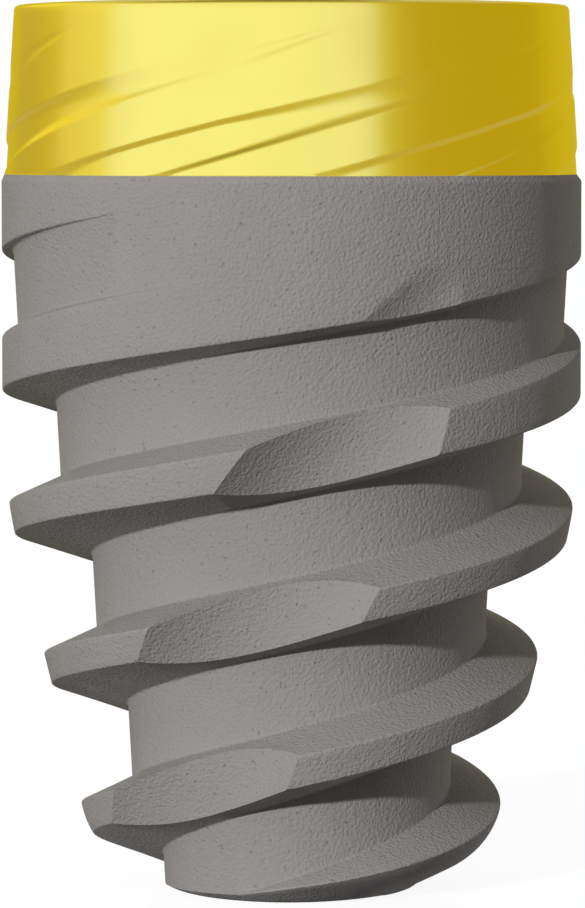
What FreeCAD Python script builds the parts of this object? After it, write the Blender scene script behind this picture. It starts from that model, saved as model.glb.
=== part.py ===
import FreeCAD, Part
import math
import os

import Sketcher

# One-piece screw-form tooth implant: a smooth back-tapered collar, a cylindrical
# upper body and a tapered lower body, a deep double-start thread, two helical
# cutting flutes and a conical-hexagon socket with a threaded bore.
# The axis is Z. The flat apex rests on Z = 0 and the platform is the top.
# Lengths are millimetres and angles are degrees.

SIZES = [
    ("overall_length", 8.4, "platform to flat apex"),
    ("body_diameter", 5.5, "over the crests of the straight part"),
    ("collar_height", 1.59, "smooth collar"),
    ("platform_diameter", 5.25, "top of the collar"),
    ("collar_foot_diameter", 5.45, "bottom of the collar"),
    ("shoulder_height", 0.06, "small cone from the collar out to the body"),
    ("platform_chamfer", 0.03, "broken edge of the platform"),
    ("straight_length", 2.96, "body above the point where the taper would start sharp"),
    ("taper_angle", 13.7, "each side of the crests"),
    ("taper_blend_radius", 5.6, "curve from the straight part into the taper"),
    ("apex_height", 0.42, "steep end cone below the taper"),
    ("apex_flat_diameter", 2.24, "flat end before its edge is rounded"),
    ("apex_shoulder_radius", 0.8, "curve from the taper into the end cone"),
    ("apex_edge_radius", 0.4, "curve from the end cone into the flat"),
    ("thread_lead", 2.87, "travel in one turn"),
    ("thread_starts", 2, "number of grooves"),
    ("thread_phase", 189.3, "direction in which a groove's middle crosses the apex plane"),
    ("core_diameter", 2.43, "bottom of the groove, taken down to the apex plane"),
    ("core_taper_angle", 13.2, "each side of the lower core"),
    ("upper_core_taper_angle", 15.6, "each side of the core above its knee"),
    ("core_knee_height", 4.24, "where the core's taper changes"),
    ("core_land", 0.74, "height of the groove's bottom"),
    ("core_land_slope", 3.1, "lean of the groove's bottom to the axis"),
    ("underside_angle", 15.3, "lower face of a thread to the level plane"),
    ("topside_angle", 21.8, "upper face of a thread to the level plane"),
    ("flute_count", 2, "cutting flutes"),
    ("flute_radius", 2.05, "hollow of a flute"),
    ("flute_lead", 30.8, "travel of a flute in one turn"),
    ("flute_phase", 49.6, "direction of a flute at the apex plane"),
    ("flute_floor_radius", 1.44, "axis to the floor of a flute at the apex plane"),
    ("flute_taper", 12.3, "lean of a flute's floor to the axis"),
    ("seat_mouth_diameter", 3.9, "cone of the socket at the platform"),
    ("seat_depth", 1.3, "cone of the socket"),
    ("seat_angle", 12, "each side of the cone"),
    ("hexagon_width", 2.9, "across the flats of the socket"),
    ("hexagon_depth", 1.1, "hexagon below the cone"),
    ("bore_diameter", 1.6, "core of the M2 screw thread"),
    ("bore_length", 3.5, "full bore below the hexagon"),
    ("drill_point_angle", 118, "end of the bore"),
]

DERIVED = [
    ("body_radius", "=body_diameter / 2"),
    ("platform_radius", "=platform_diameter / 2"),
    ("collar_foot_radius", "=collar_foot_diameter / 2"),
    ("apex_flat_radius", "=apex_flat_diameter / 2"),
    ("collar_foot_height", "=overall_length - collar_height"),
    ("shoulder_foot_height", "=collar_foot_height - shoulder_height"),
    ("taper_start_height", "=collar_foot_height - straight_length"),
    ("apex_radius", "=body_radius - (taper_start_height - apex_height) * tan(taper_angle * 1 deg)"),
    ("chamfer_foot_height", "=overall_length - platform_chamfer"),
    ("platform_flat_radius", "=platform_radius - platform_chamfer"),
    ("seat_mouth_radius", "=seat_mouth_diameter / 2"),
    ("seat_foot_radius", "=seat_mouth_radius - seat_depth * tan(seat_angle * 1 deg)"),
    ("seat_foot_height", "=overall_length - seat_depth"),
    ("hexagon_foot_height", "=seat_foot_height - hexagon_depth"),
    ("hexagon_corner_radius", "=hexagon_width / sqrt(3)"),
    ("bore_radius", "=bore_diameter / 2"),
    ("bore_foot_height", "=hexagon_foot_height - bore_length"),
    ("bore_tip_height", "=bore_foot_height - bore_radius / tan(drill_point_angle / 2 * 1 deg)"),
]

FULL_TURN = 360.0
PATCHES_PER_TURN = 4
SPANS_PER_PATCH = 6
FLUTE_PATCHES = 2
FLUTE_ARC_HALF_ANGLE = 50.0
HEXAGON_SIDES = 6
CLEARANCE = 0.6
NEAR = 1e-4
SEW_TOLERANCE = 1e-5

document = FreeCAD.newDocument("tooth_implant")
sizes = document.addObject("Spreadsheet::Sheet", "sizes")


def fill_sheet():
    """Write every size, its meaning and the sizes that follow from it."""
    row = 1
    for name, value, meaning in SIZES:
        sizes.set(f"A{row}", name)
        sizes.set(f"B{row}", str(value))
        sizes.setAlias(f"B{row}", name)
        sizes.set(f"C{row}", meaning)
        row += 1
    document.recompute()
    for name, formula in DERIVED:
        sizes.set(f"A{row}", name)
        sizes.set(f"B{row}", formula)
        sizes.setAlias(f"B{row}", name)
        row += 1
    document.recompute()


def size(name):
    """One size from the sheet as a plain number."""
    return float(sizes.get(name))


def origin_plane(body, role):
    """The plane of a body's own origin that has this role."""
    for feature in body.Origin.OriginFeatures:
        if feature.Role == role:
            return feature
    raise ValueError(role)


def draw_profile(body, name, corners):
    """A closed sketch in the body's XZ plane, one corner per pair of size names.

    A corner is (radius name, height name), and None stands for the axis or the
    base plane. Every corner is held by its two distances from the origin.
    """
    sketch = body.newObject("Sketcher::SketchObject", name)
    sketch.AttachmentSupport = (origin_plane(body, "XZ_Plane"), [""])
    sketch.MapMode = "FlatFace"
    points = []
    for radius_name, height_name in corners:
        radius = size(radius_name) if radius_name else 0.0
        height = size(height_name) if height_name else 0.0
        points.append(FreeCAD.Vector(radius, height, 0))
    count = len(points)
    for index in range(count):
        segment = Part.LineSegment(points[index], points[(index + 1) % count])
        sketch.addGeometry(segment, False)
    for index in range(count):
        sketch.addConstraint(Sketcher.Constraint("Coincident", index, 2, (index + 1) % count, 1))
    for index, (radius_name, height_name) in enumerate(corners):
        hold(sketch, "DistanceX", index, radius_name, points[index].x)
        hold(sketch, "DistanceY", index, height_name, points[index].y)
    return sketch


def hold(sketch, kind, index, size_name, value):
    """Hold the start of a segment on an axis, or at a named distance from it."""
    if size_name is None:
        on_line = -2 if kind == "DistanceX" else -1
        sketch.addConstraint(Sketcher.Constraint("PointOnObject", index, 1, on_line))
        return
    number = sketch.addConstraint(Sketcher.Constraint(kind, -1, 1, index, 1, value))
    sketch.setExpression(f"Constraints[{number}]", f"sizes.{size_name}")


def circle_edge(shape, radius, height):
    """Name of the circular edge round the axis with this radius and height."""
    for number, edge in enumerate(shape.Edges, start=1):
        if not isinstance(edge.Curve, Part.Circle):
            continue
        same_radius = abs(edge.Curve.Radius - radius) < NEAR
        same_height = abs(edge.Curve.Center.z - height) < NEAR
        if same_radius and same_height:
            return f"Edge{number}"
    raise ValueError((radius, height))


def round_edge(body, name, radius_name, height_name, blend_name):
    """Round one circular edge of the body's tip."""
    base = body.Tip
    height = size(height_name) if height_name else 0.0
    edge = circle_edge(base.Shape, size(radius_name), height)
    blend = body.newObject("PartDesign::Fillet", name)
    blend.Base = (base, [edge])
    blend.Radius = size(blend_name)
    blend.setExpression("Radius", f"sizes.{blend_name}")
    document.recompute()
    return blend


def make_blank():
    """Turned outside, blended at its three corners, with the socket cut into the top."""
    body = document.addObject("PartDesign::Body", "turned_blank")
    document.recompute()
    outline = draw_profile(
        body,
        "outline",
        [
            (None, None),
            ("apex_flat_radius", None),
            ("apex_radius", "apex_height"),
            ("body_radius", "taper_start_height"),
            ("body_radius", "shoulder_foot_height"),
            ("collar_foot_radius", "collar_foot_height"),
            ("platform_radius", "chamfer_foot_height"),
            ("platform_flat_radius", "overall_length"),
            (None, "overall_length"),
        ],
    )
    document.recompute()
    turned = body.newObject("PartDesign::Revolution", "turned")
    turned.Profile = outline
    turned.ReferenceAxis = (outline, ["V_Axis"])
    turned.Angle = FULL_TURN
    document.recompute()
    round_edge(body, "taper_blend", "body_radius", "taper_start_height", "taper_blend_radius")
    round_edge(body, "apex_shoulder", "apex_radius", "apex_height", "apex_shoulder_radius")
    round_edge(body, "apex_edge", "apex_flat_radius", None, "apex_edge_radius")
    cut_seat(body)
    cut_hexagon(body)
    cut_bore(body)
    return body


def revolve_cut(body, name, corners):
    """Turn a closed profile out of the body round its axis."""
    before = body.Tip.Shape.Volume
    profile = draw_profile(body, f"{name}_profile", corners)
    document.recompute()
    cut = body.newObject("PartDesign::Groove", name)
    cut.Profile = profile
    cut.ReferenceAxis = (profile, ["V_Axis"])
    cut.Angle = FULL_TURN
    document.recompute()
    if cut.Shape.Volume >= before:
        raise RuntimeError(f"{name} removes nothing")


def cut_seat(body):
    """Conical seat of the socket."""
    revolve_cut(
        body,
        "seat",
        [
            (None, "seat_foot_height"),
            ("seat_foot_radius", "seat_foot_height"),
            ("seat_mouth_radius", "overall_length"),
            (None, "overall_length"),
        ],
    )


def cut_hexagon(body):
    """Hexagon below the seat, with flats toward the front and the back."""
    before = body.Tip.Shape.Volume
    sketch = body.newObject("Sketcher::SketchObject", "hexagon_profile")
    sketch.AttachmentSupport = (origin_plane(body, "XY_Plane"), [""])
    sketch.MapMode = "FlatFace"
    sketch.AttachmentOffset = FreeCAD.Placement(
        FreeCAD.Vector(0, 0, size("seat_foot_height")), FreeCAD.Rotation()
    )
    sketch.setExpression("AttachmentOffset.Base.z", "sizes.seat_foot_height")
    corner = size("hexagon_corner_radius")
    sides = HEXAGON_SIDES
    points = []
    for index in range(sides):
        angle = 2 * math.pi * index / sides
        points.append(FreeCAD.Vector(corner * math.cos(angle), corner * math.sin(angle), 0))
    for index in range(sides):
        sketch.addGeometry(Part.LineSegment(points[index], points[(index + 1) % sides]), False)
    middle = FreeCAD.Vector(0, 0, 0)
    ring = sketch.addGeometry(Part.Circle(middle, FreeCAD.Vector(0, 0, 1), corner), True)
    for index in range(sides):
        sketch.addConstraint(Sketcher.Constraint("Coincident", index, 2, (index + 1) % sides, 1))
    sketch.addConstraint(Sketcher.Constraint("Coincident", ring, 3, -1, 1))
    for index in range(sides):
        sketch.addConstraint(Sketcher.Constraint("PointOnObject", index, 1, ring))
    for index in range(1, sides):
        sketch.addConstraint(Sketcher.Constraint("Equal", 0, index))
    sketch.addConstraint(Sketcher.Constraint("PointOnObject", 0, 1, -1))
    number = sketch.addConstraint(Sketcher.Constraint("Radius", ring, corner))
    sketch.setExpression(f"Constraints[{number}]", "sizes.hexagon_corner_radius")
    document.recompute()
    pocket = body.newObject("PartDesign::Pocket", "hexagon")
    pocket.Profile = sketch
    pocket.Type = "Length"
    pocket.Length = size("hexagon_depth")
    pocket.setExpression("Length", "sizes.hexagon_depth")
    document.recompute()
    if pocket.Shape.Volume >= before:
        raise RuntimeError("the hexagon removes nothing")


def cut_bore(body):
    """Blind bore of the screw, with the cone that the drill leaves."""
    revolve_cut(
        body,
        "bore",
        [
            (None, "bore_tip_height"),
            ("bore_radius", "bore_foot_height"),
            ("bore_radius", "hexagon_foot_height"),
            (None, "hexagon_foot_height"),
        ],
    )


def screw_point(radial, across, direction, height):
    """Point at a distance out from the axis and across that, turned to a direction."""
    angle = math.radians(direction)
    return FreeCAD.Vector(
        radial * math.cos(angle) - across * math.sin(angle),
        radial * math.sin(angle) + across * math.cos(angle),
        height,
    )


def screw_curve(start, lead, gain, first_turn, last_turn):
    """Spline through a corner's conical helix between two turns.

    start is (radial, across, direction, height) at turn 0, and gain gives what
    is added to the radial distance once the corner has risen by a height.
    """
    radial, across, direction, height = start
    points = []
    parameters = []
    for step in range(SPANS_PER_PATCH + 1):
        part = step / SPANS_PER_PATCH
        turn = first_turn + (last_turn - first_turn) * part
        rise = lead * turn
        points.append(
            screw_point(
                radial + gain(rise),
                across,
                direction + FULL_TURN * turn,
                height + rise,
            )
        )
        parameters.append(part)
    curve = Part.BSplineCurve()
    curve.interpolate(Points=points, Parameters=parameters)
    return curve


def strip(curves, weights, degree):
    """Face across neighbouring helices: straight between two, an arc over three."""
    along = curves[0]
    rows = [list(poles) for poles in zip(*[curve.getPoles() for curve in curves])]
    surface = Part.BSplineSurface()
    surface.buildFromPolesMultsKnots(
        rows,
        along.getMultiplicities(),
        [degree + 1, degree + 1],
        along.getKnots(),
        [0.0, 1.0],
        False,
        False,
        along.Degree,
        degree,
        [list(weights) for _ in rows],
    )
    return surface.toShape()


def arc_edge(first, control, last, weight):
    """Circular arc with its control point between its ends."""
    arc = Part.BSplineCurve()
    arc.buildFromPolesMultsKnots(
        [first, control, last], [3, 3], [0.0, 1.0], False, 2, [1.0, weight, 1.0]
    )
    return arc.toShape()


def screw_solid(corners, sides, lead, gain, turns, patches):
    """Closed tool swept by a flat section along a conical helix.

    Each side lists the corners it runs over and its weights: two corners make
    a straight side, three an arc. The section stands at turn 0 and the tool is
    made of several short patches.
    """
    faces = []
    for patch in range(patches):
        first = turns * patch / patches
        last = turns * (patch + 1) / patches
        curves = [screw_curve(corner, lead, gain, first, last) for corner in corners]
        for indices, weights in sides:
            faces.append(strip([curves[i] for i in indices], weights, len(indices) - 1))
    for turn in (0.0, turns):
        faces.append(section_face(corners, sides, lead, gain, turn))
    shell = Part.Compound(faces)
    shell.sewShape(SEW_TOLERANCE)
    if shell.ShapeType != "Shell":
        shell = shell.Shells[0]
    if not shell.isClosed():
        raise RuntimeError("the helical tool is open")
    tool = Part.Solid(shell)
    if tool.Volume < 0:
        tool.reverse()
    return tool


def section_face(corners, sides, lead, gain, turn):
    """Flat end of a helical tool at one turn."""
    points = []
    for radial, across, direction, height in corners:
        rise = lead * turn
        points.append(
            screw_point(
                radial + gain(rise), across, direction + FULL_TURN * turn, height + rise
            )
        )
    edges = []
    for indices, weights in sides:
        if len(indices) == 2:
            edges.append(Part.LineSegment(points[indices[0]], points[indices[1]]).toShape())
        else:
            first, control, last = [points[i] for i in indices]
            edges.append(arc_edge(first, control, last, weights[1]))
    return Part.Face(Part.Wire(edges))


def groove_tool():
    """Tool of one thread groove.

    Its section is a flat-bottomed V with a nearly level upper and a steeper
    lower face. It starts below the apex and rises until it has left the body.
    """
    lead = size("thread_lead")
    lower_slope = math.tan(math.radians(size("core_taper_angle")))
    upper_slope = math.tan(math.radians(size("upper_core_taper_angle")))
    half = size("core_land") / 2
    lean = half * math.tan(math.radians(size("core_land_slope")))
    outward = size("body_radius") - size("core_diameter") / 2 + CLEARANCE
    rise = outward * math.tan(math.radians(size("underside_angle")))
    fall = outward * math.tan(math.radians(size("topside_angle")))
    turns_below = (half + fall + CLEARANCE) / lead
    height = -turns_below * lead
    direction = size("thread_phase") - turns_below * FULL_TURN
    radius = size("core_diameter") / 2 + lower_slope * height
    knee = size("core_knee_height") - height
    above_knee = (size("body_radius") + CLEARANCE - radius - lower_slope * knee) / upper_slope
    turns = (knee + above_knee) / lead

    def gain(climb):
        return lower_slope * min(climb, knee) + upper_slope * max(climb - knee, 0.0)

    patches = math.ceil(turns * PATCHES_PER_TURN)
    corners = [
        (radius - lean, 0.0, direction, height - half),
        (radius + lean, 0.0, direction, height + half),
        (radius + lean + outward, 0.0, direction, height + half + rise),
        (radius - lean + outward, 0.0, direction, height - half - fall),
    ]
    straight = (1.0, 1.0)
    sides = [
        ((0, 1), straight),
        ((1, 2), straight),
        ((2, 3), straight),
        ((3, 0), straight),
    ]
    return screw_solid(corners, sides, lead, gain, turns, patches)


def flute_tool():
    """Tool of one cutting flute.

    Its level section is an arc that is hollow in the body, closed well outside
    it. The floor climbs outward until it has left the body.
    """
    lead = size("flute_lead")
    growth = math.tan(math.radians(size("flute_taper")))
    radius = size("flute_radius")
    height = -CLEARANCE
    direction = size("flute_phase") + FULL_TURN * height / lead
    floor = size("flute_floor_radius") + growth * height
    rise = (size("body_radius") + CLEARANCE - floor) / growth
    half_angle = math.radians(FLUTE_ARC_HALF_ANGLE)
    across = radius * math.sin(half_angle)
    depth = radius * (1 - math.cos(half_angle))
    weight = math.cos(half_angle)
    control = floor + depth - across * math.tan(half_angle)
    outside = size("body_diameter")
    corners = [
        (floor + depth, -across, direction, height),
        (control, 0.0, direction, height),
        (floor + depth, across, direction, height),
        (outside, across, direction, height),
        (outside, -across, direction, height),
    ]
    straight = (1.0, 1.0)
    sides = [
        ((0, 1, 2), (1.0, weight, 1.0)),
        ((2, 3), straight),
        ((3, 4), straight),
        ((4, 0), straight),
    ]

    def gain(climb):
        return growth * climb

    return screw_solid(corners, sides, lead, gain, rise / lead, FLUTE_PATCHES)


def cut_round(base, tool_shape, count, name):
    """Cut copies of a tool, evenly spaced round the axis, out of the base."""
    for number in range(count):
        tool = document.addObject("Part::Feature", f"{name}_tool_{number + 1}")
        tool.Shape = tool_shape
        tool.Placement = FreeCAD.Placement(
            FreeCAD.Vector(0, 0, 0),
            FreeCAD.Rotation(FreeCAD.Vector(0, 0, 1), FULL_TURN * number / count),
        )
        cut = document.addObject("Part::Cut", f"{name}_{number + 1}")
        cut.Refine = False
        cut.Base = base
        cut.Tool = tool
        before = base.Shape.Volume
        document.recompute()
        if cut.Shape.Volume >= before:
            raise RuntimeError(f"{name} removes nothing")
        base = cut
    return base


def check_document():
    """Stop if any object is broken."""
    for item in document.Objects:
        if "Invalid" in item.State or "Error" in item.State:
            raise RuntimeError(f"{item.Name} is {item.State}")
        shape = getattr(item, "Shape", None)
        if shape is not None and not shape.isNull() and not shape.isValid():
            raise RuntimeError(f"{item.Name} has a broken shape")


def main():
    fill_sheet()
    blank = make_blank()
    threaded = cut_round(blank, groove_tool(), int(size("thread_starts")), "thread_groove")
    fluted = cut_round(threaded, flute_tool(), int(size("flute_count")), "flute")
    fluted.Label = "implant_fixture"
    fluted.Placement = FreeCAD.Placement()
    document.recompute()
    check_document()
    if len(fluted.Shape.Solids) != 1:
        raise RuntimeError("the fixture isn't one solid")
    print("volume", round(fluted.Shape.Volume, 3), "faces", len(fluted.Shape.Faces))
    os.makedirs("parts", exist_ok=True)
    fluted.Shape.exportStep("parts/implant_fixture.step")


main()
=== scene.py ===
"""Visual model of a screw-form tooth implant with a gold-coloured collar.

The implant stands on its flat apex. Shapes are worked out in millimetres in the
frame's own axes and scaled to metres at the end: Z is the implant's axis, -Y is
the side that the camera sees. Azimuths are in degrees round Z.
"""

import bisect
import logging
import math
from collections.abc import Callable
from dataclasses import dataclass, field
from enum import IntEnum
from typing import NamedTuple

import bmesh
import bpy
from mathutils import Matrix, Vector

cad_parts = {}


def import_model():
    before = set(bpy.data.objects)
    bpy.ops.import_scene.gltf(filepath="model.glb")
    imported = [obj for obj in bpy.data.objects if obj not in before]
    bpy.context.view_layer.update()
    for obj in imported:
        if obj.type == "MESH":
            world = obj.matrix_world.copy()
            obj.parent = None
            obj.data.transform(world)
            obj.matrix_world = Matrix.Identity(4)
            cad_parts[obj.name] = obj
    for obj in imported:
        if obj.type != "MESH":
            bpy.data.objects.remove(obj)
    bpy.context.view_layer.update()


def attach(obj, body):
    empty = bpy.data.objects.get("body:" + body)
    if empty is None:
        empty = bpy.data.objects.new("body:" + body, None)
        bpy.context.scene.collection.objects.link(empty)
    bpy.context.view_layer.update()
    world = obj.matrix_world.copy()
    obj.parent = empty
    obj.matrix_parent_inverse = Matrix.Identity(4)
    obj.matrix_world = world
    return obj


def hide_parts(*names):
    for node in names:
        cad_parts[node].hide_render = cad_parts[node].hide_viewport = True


log = logging.getLogger("implant")

MILLIMETRE = 0.001
FULL_TURN = 360.0
QUARTER_TURN = 90.0
FRONT_AZIMUTH = -90.0
NODE = "implant_fixture"
BODY = "root"

Span = tuple[float, float]
Table = tuple[Span, ...]
Colour = tuple[float, float, float]

WHITE = (1.0, 1.0, 1.0)
BLACK = (0.0, 0.0, 0.0)


class Surface(IntEnum):
    """The implant's surfaces, in the order of the mesh's material slots."""

    BLASTED = 0
    COLLAR = 1
    MACHINED = 2


class Spot(NamedTuple):
    """A place in the plane of the axis."""

    radius: float
    height: float

    def toward(self, other: "Spot", share: float) -> "Spot":
        """The place a share of the way to another one."""
        return Spot(
            self.radius + (other.radius - self.radius) * share,
            self.height + (other.height - self.height) * share,
        )

    def distance(self, other: "Spot") -> float:
        """How far another place is."""
        return math.hypot(self.radius - other.radius, self.height - other.height)


APEX_MIDDLE = Spot(0.0, 0.0)


class Row(NamedTuple):
    """One place of a column, and the surface that starts there."""

    spot: Spot
    surface: Surface


def dressed(spots: list[Spot], surface: Surface) -> list[Row]:
    """Rows of one surface at a list of places."""
    return [Row(spot, surface) for spot in spots]


def tangent(degrees: float) -> float:
    """Tangent of an angle in degrees."""
    return math.tan(math.radians(degrees))


def table_value(table: Table, at: float) -> float:
    """Value of a table of places and values, on a straight line between its rows.

    Args:
        table: places in rising order, each with its value.
        at: the place to read.

    Returns:
        The value there, or that of the nearer end outside the table.
    """
    if at <= table[0][0]:
        return table[0][1]
    for (place, value), (following, next_value) in zip(table, table[1:]):
        if at < following:
            return value + (next_value - value) * (at - place) / (following - place)
    return table[-1][1]


# A side shorter than this counts as no side, and a corner is never sharper than this slope.
SHORTEST_SIDE = 1e-9
SHARPEST_SLOPE = 1e-6
# An arc takes at most this share of each side, so that two arcs on one side never meet.
LARGEST_SHARE = 0.45


def rounded_corner(before: Spot, corner: Spot, after: Spot, radius: float, steps: int) -> list[Spot]:
    """Round a corner with an arc that takes at most part of its two sides.

    Args:
        before: the end of the side that leads to the corner.
        corner: the sharp corner.
        after: the end of the side that leaves it.
        radius: the arc's radius where the sides are long enough.
        steps: how many steps the arc has.

    Returns:
        The arc's places, steps + 1 of them. They fall together where a side
        has no length.
    """
    side_in = corner.distance(before)
    side_out = corner.distance(after)
    if min(side_in, side_out) < SHORTEST_SIDE:
        return [corner] * (steps + 1)
    cosine = (
        (before.radius - corner.radius) * (after.radius - corner.radius)
        + (before.height - corner.height) * (after.height - corner.height)
    ) / (side_in * side_out)
    half_angle = math.acos(max(-1.0, min(1.0, cosine))) / 2
    wanted = radius / max(math.tan(half_angle), SHARPEST_SLOPE)
    reach = min(wanted, LARGEST_SHARE * side_in, LARGEST_SHARE * side_out)
    start = corner.toward(before, reach / side_in)
    end = corner.toward(after, reach / side_out)
    weight = math.sin(half_angle)
    spots = []
    for step in range(steps + 1):
        share = step / steps
        parts = ((1 - share) ** 2, 2 * share * (1 - share) * weight, share**2)
        total = sum(parts)
        spots.append(
            Spot(
                (parts[0] * start.radius + parts[1] * corner.radius + parts[2] * end.radius) / total,
                (parts[0] * start.height + parts[1] * corner.height + parts[2] * end.height) / total,
            )
        )
    return spots


@dataclass(frozen=True)
class ImplantSizes:
    """Sizes of the implant in millimetres and degrees, as its solid has them."""

    length: float = 8.4
    body_radius: float = 2.75
    collar_height: float = 1.59
    platform_radius: float = 2.625
    collar_foot_radius: float = 2.725
    shoulder_height: float = 0.06
    straight_length: float = 2.96
    taper_angle: float = 13.7
    taper_blend_radius: float = 5.6
    apex_height: float = 0.42
    apex_flat_radius: float = 1.12
    apex_shoulder_radius: float = 0.8
    apex_edge_radius: float = 0.4
    seat_mouth_radius: float = 1.95
    seat_depth: float = 1.3
    seat_angle: float = 12.0
    hexagon_half_width: float = 1.45
    hexagon_depth: float = 1.1
    bore_radius: float = 0.8
    bore_length: float = 3.5
    drill_point_angle: float = 118.0

    @property
    def collar_foot_height(self) -> float:
        """Where the collar starts."""
        return self.length - self.collar_height

    @property
    def shoulder_foot_height(self) -> float:
        """Where the cone below the collar starts."""
        return self.collar_foot_height - self.shoulder_height

    @property
    def taper_start_height(self) -> float:
        """Where the straight part would meet the taper sharply."""
        return self.collar_foot_height - self.straight_length

    @property
    def apex_radius(self) -> float:
        """Radius where the taper would meet the end cone sharply."""
        fall = self.taper_start_height - self.apex_height
        return self.body_radius - fall * tangent(self.taper_angle)

    @property
    def seat_foot_height(self) -> float:
        """Bottom of the conical seat."""
        return self.length - self.seat_depth

    @property
    def seat_foot_radius(self) -> float:
        """Radius at the bottom of the conical seat."""
        return self.seat_mouth_radius - self.seat_depth * tangent(self.seat_angle)

    @property
    def hexagon_foot_height(self) -> float:
        """Bottom of the hexagon."""
        return self.seat_foot_height - self.hexagon_depth

    @property
    def bore_foot_height(self) -> float:
        """End of the full bore."""
        return self.hexagon_foot_height - self.bore_length

    @property
    def bore_tip_height(self) -> float:
        """Tip of the drill point."""
        return self.bore_foot_height - self.bore_radius / tangent(self.drill_point_angle / 2)


class TurnedOutline:
    """Outer outline of the body before threading, from its flat apex upward."""

    ARC_STEPS = 24
    BLEND_STEPS = 40
    FALL_BELOW_APEX = 10.0

    def __init__(self, sizes: ImplantSizes, top: float) -> None:
        """Trace the outline.

        Args:
            sizes: the implant's sizes.
            top: the height where the outline ends.
        """
        flat = Spot(sizes.apex_flat_radius, 0.0)
        shoulder = Spot(sizes.apex_radius, sizes.apex_height)
        blend = Spot(sizes.body_radius, sizes.taper_start_height)
        end = Spot(sizes.body_radius, top)
        self.spots = rounded_corner(APEX_MIDDLE, flat, shoulder, sizes.apex_edge_radius, self.ARC_STEPS)
        self.spots += rounded_corner(flat, shoulder, blend, sizes.apex_shoulder_radius, self.ARC_STEPS)
        self.spots += rounded_corner(shoulder, blend, end, sizes.taper_blend_radius, self.BLEND_STEPS)
        self.spots.append(end)
        self.heights = [spot.height for spot in self.spots]
        self.distances = [0.0]
        for first, second in zip(self.spots, self.spots[1:]):
            self.distances.append(self.distances[-1] + first.distance(second))
        self.length = self.distances[-1]

    def walk(self, distance: float) -> Spot:
        """Walk along the outline.

        Args:
            distance: how far from its start.

        Returns:
            The place there, or the nearer end past the outline.
        """
        distance = max(0.0, min(self.length, distance))
        index = min(max(bisect.bisect_right(self.distances, distance), 1), len(self.spots) - 1)
        span = self.distances[index] - self.distances[index - 1]
        share = (distance - self.distances[index - 1]) / span if span else 0.0
        return self.spots[index - 1].toward(self.spots[index], share)

    def span_at(self, height: float) -> tuple[int, float]:
        """Find the span of the outline that holds a height.

        Args:
            height: the height, above that of the apex.

        Returns:
            The number of the span's upper end, and the share of the span that
            lies below the height.
        """
        index = min(bisect.bisect_right(self.heights, height), len(self.spots) - 1)
        rise = self.heights[index] - self.heights[index - 1]
        share = (height - self.heights[index - 1]) / rise if rise else 0.0
        return index, min(share, 1.0)

    def radius_at(self, height: float) -> float:
        """Radius of the outline at a height.

        Args:
            height: the height above the apex.

        Returns:
            The radius, which falls off fast below the flat apex.
        """
        if height <= 0.0:
            return self.spots[0].radius + self.FALL_BELOW_APEX * height
        index, share = self.span_at(height)
        return self.spots[index - 1].toward(self.spots[index], share).radius

    def distance_at(self, height: float) -> float:
        """Distance along the outline at a height.

        Args:
            height: the height above the apex.

        Returns:
            The distance from the start, held at both ends.
        """
        if height <= 0.0:
            return 0.0
        if height >= self.heights[-1]:
            return self.length
        index, share = self.span_at(height)
        return self.distances[index - 1] + share * (self.distances[index] - self.distances[index - 1])


@dataclass(frozen=True)
class BoneThread:
    """The deep thread: grooves with a flat bottom between two sloping faces."""

    lead: float = 2.87
    starts: int = 2
    phase: float = 189.3
    core_radius: float = 1.215
    core_taper: float = 13.2
    upper_core_taper: float = 15.6
    knee_height: float = 4.24
    land: float = 0.74
    land_slope: float = 3.1
    underside_angle: float = 15.3
    topside_angle: float = 21.8

    @property
    def pitch(self) -> float:
        """Height from one groove to the next."""
        return self.lead / self.starts

    @property
    def half(self) -> float:
        """Half the height of a groove's bottom."""
        return self.land / 2

    @property
    def lean(self) -> float:
        """How far a groove's bottom leans over half its height."""
        return self.half * tangent(self.land_slope)

    def middle(self, azimuth: float, number: int) -> float:
        """Height of a groove's middle at an azimuth."""
        return self.lead * (azimuth - self.phase) / FULL_TURN + number * self.pitch

    def core_at(self, height: float) -> float:
        """Radius of the core that the grooves leave.

        Args:
            height: the height of a groove's middle.

        Returns:
            The radius, which grows faster above the knee.
        """
        lower = tangent(self.core_taper) * min(height, self.knee_height)
        upper = tangent(self.upper_core_taper) * max(height - self.knee_height, 0.0)
        return self.core_radius + lower + upper

    def radius_at(self, middle: float, offset: float) -> float:
        """Radius of a groove's bottom or of one of its faces.

        Args:
            middle: the height of the groove's middle.
            offset: how far above the middle to look.

        Returns:
            The radius there.
        """
        core = self.core_at(middle)
        if offset > self.half:
            return core + self.lean + (offset - self.half) / tangent(self.underside_angle)
        if offset < -self.half:
            return core - self.lean - (offset + self.half) / tangent(self.topside_angle)
        return core + self.lean * offset / self.half


class GrooveSection(NamedTuple):
    """Four corners of a groove in one column, and where its edges lie on the outline."""

    lower_edge: Spot
    lower_root: Spot
    upper_root: Spot
    upper_edge: Spot
    lower_distance: float
    upper_distance: float


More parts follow.
